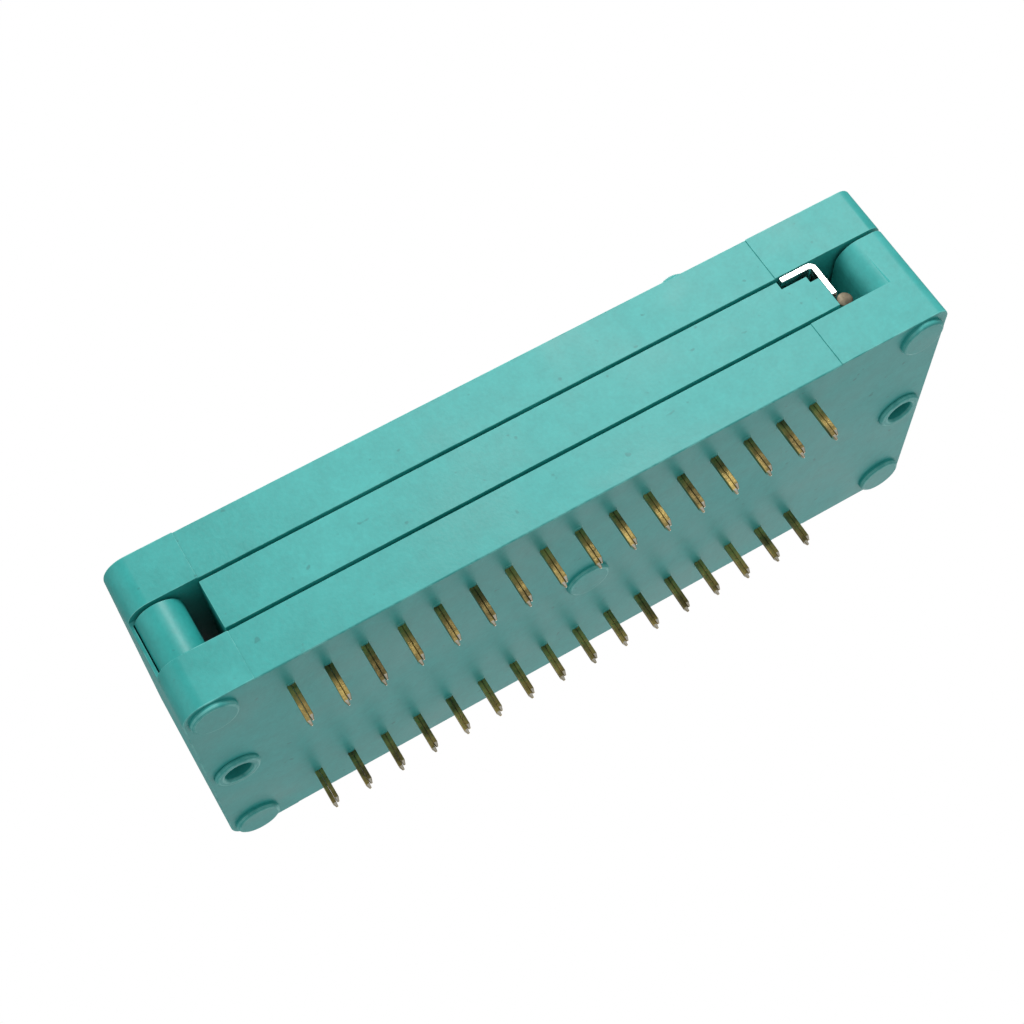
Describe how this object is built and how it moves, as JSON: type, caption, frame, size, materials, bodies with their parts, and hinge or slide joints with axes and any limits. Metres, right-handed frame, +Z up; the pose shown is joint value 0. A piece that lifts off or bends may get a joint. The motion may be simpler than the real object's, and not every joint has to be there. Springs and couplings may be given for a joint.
{
  "type": "zero insertion force ic socket",
  "caption": "Green zero insertion force socket for dual in-line chips, with a sliding plate and a wire lever that opens and closes its contacts.",
  "frame": {"origin": "centre of the field of contact tails, on the plane of the moulded feet, which is the board's top face", "axes": "+Z up out of the board, +X along the rows towards the lever end, +Y across the rows towards the lever arm's side"},
  "size_m": [0.0551, 0.0268, 0.0275],
  "materials": {
    "green_plastic": "moulded, glass filled, matte",
    "contact_metal": "tarnished gilt sheet",
    "steel": "bright stainless steel"
  },
  "bodies": {
    "housing": {"base": "green_plastic", "cover": "green_plastic", "contact_a01": "contact_metal", "contact_a02": "contact_metal", "contact_a03": "contact_metal", "contact_a04": "contact_metal", "contact_a05": "contact_metal", "contact_a06": "contact_metal", "contact_a07": "contact_metal", "contact_a08": "contact_metal", "contact_a09": "contact_metal", "contact_a10": "contact_metal", "contact_a11": "contact_metal", "contact_a12": "contact_metal", "contact_a13": "contact_metal", "contact_a14": "contact_metal", "contact_a15": "contact_metal", "contact_a16": "contact_metal", "contact_b01": "contact_metal", "contact_b02": "contact_metal", "contact_b03": "contact_metal", "contact_b04": "contact_metal", "contact_b05": "contact_metal", "contact_b06": "contact_metal", "contact_b07": "contact_metal", "contact_b08": "contact_metal", "contact_b09": "contact_metal", "contact_b10": "contact_metal", "contact_b11": "contact_metal", "contact_b12": "contact_metal", "contact_b13": "contact_metal", "contact_b14": "contact_metal", "contact_b15": "contact_metal", "contact_b16": "contact_metal"},
    "slide": {"slider": "green_plastic", "wear_plate": "steel"},
    "lever": {"lever": "steel", "lever_knob": "green_plastic"}
  },
  "joints": [
    {"name": "lever_close", "type": "hinge", "parent": "housing", "child": "lever", "pos_m": [0.02405, 0, 0.00465], "axis": [0, -1, 0], "range_deg": [0, 93]},
    {"name": "plate_slide", "type": "slide", "parent": "housing", "child": "slide", "axis": [-1, 0, 0], "range_m": [0, 0.001]}
  ],
  "couplings": [
    {"joint": "lever_close", "follows": "plate_slide", "rad_per_m": 1623.1}
  ]
}
